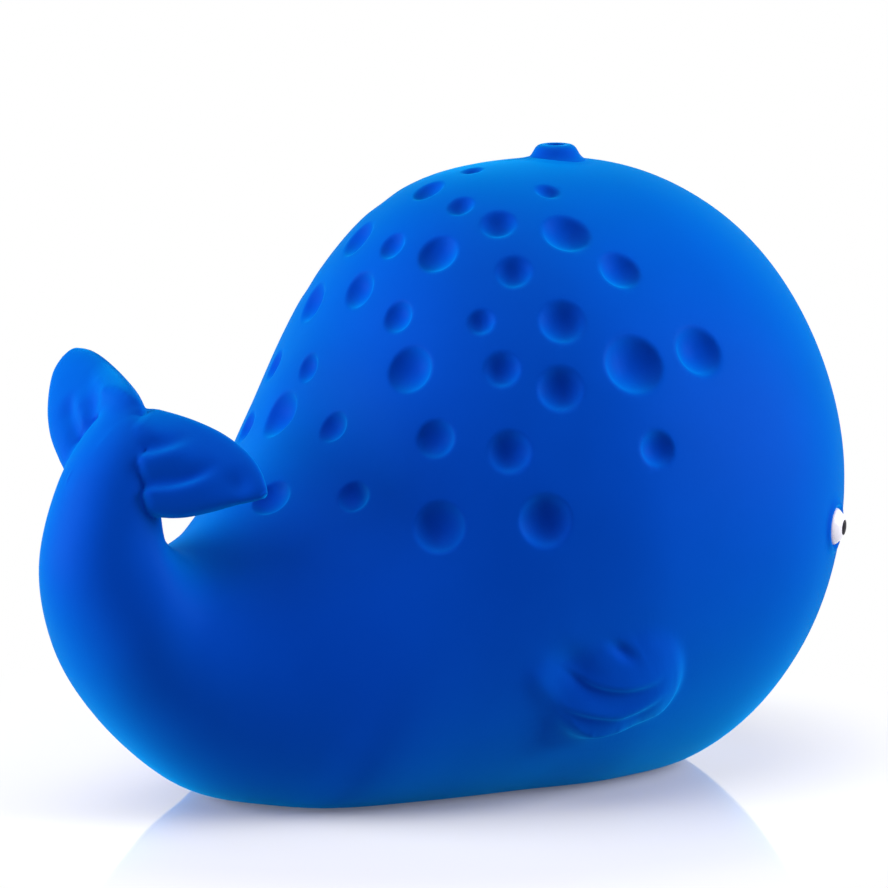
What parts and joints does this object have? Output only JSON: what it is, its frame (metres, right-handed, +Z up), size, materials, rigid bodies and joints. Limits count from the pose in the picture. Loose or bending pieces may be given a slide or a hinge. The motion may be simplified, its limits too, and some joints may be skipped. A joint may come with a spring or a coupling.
{
  "type": "squeaky bath toy",
  "caption": "Hollow blue rubber whale bath toy with a dimpled back, upturned tail, side fins and blowhole, and a squeaker plugged into its flat belly.",
  "frame": {"origin": "on the ground under the middle of the toy, in the plane of the belly's flat face", "axes": "+X towards the head, +Y towards the whale's left, +Z up"},
  "size_m": [0.1072, 0.076, 0.0778],
  "materials": {
    "rubber_skin": "matte royal blue moulded natural rubber with a soft sheen",
    "eye_white": "glossy white paint on a raised button",
    "pupil_black": "glossy black paint",
    "squeaker_plastic": "natural white moulded plastic",
    "reed_film": "thin milky film"
  },
  "bodies": {
    "belly": {"belly_shell": "rubber_skin", "flank_wall": "rubber_skin", "tail": "rubber_skin", "fluke_left": "rubber_skin", "fluke_right": "rubber_skin", "fin_left": "rubber_skin", "fin_right": "rubber_skin", "eye_left": "eye_white", "eye_right": "eye_white", "pupil_left": "pupil_black", "pupil_right": "pupil_black", "squeaker_cup": "squeaker_plastic", "reed_block": "squeaker_plastic", "reed_clip": "squeaker_plastic", "squeaker_cap": "squeaker_plastic"},
    "crown": {"crown_shell": "rubber_skin", "blowhole_ring": "rubber_skin"},
    "reed": {"reed": "reed_film"}
  },
  "joints": [
    {"name": "squeeze", "type": "slide", "parent": "belly", "child": "crown", "axis": [0, 0, -1], "range_m": [0, 0.008], "stiffness_N_per_m": 1500, "deforming": ["flank_wall"]},
    {"name": "reed_flutter", "type": "hinge", "parent": "belly", "child": "reed", "pos_m": [0.00437, 0, 0.00425], "axis": [0, 1, 0], "range_deg": [0, 4], "stiffness_Nm_per_rad": 0.0001}
  ]
}
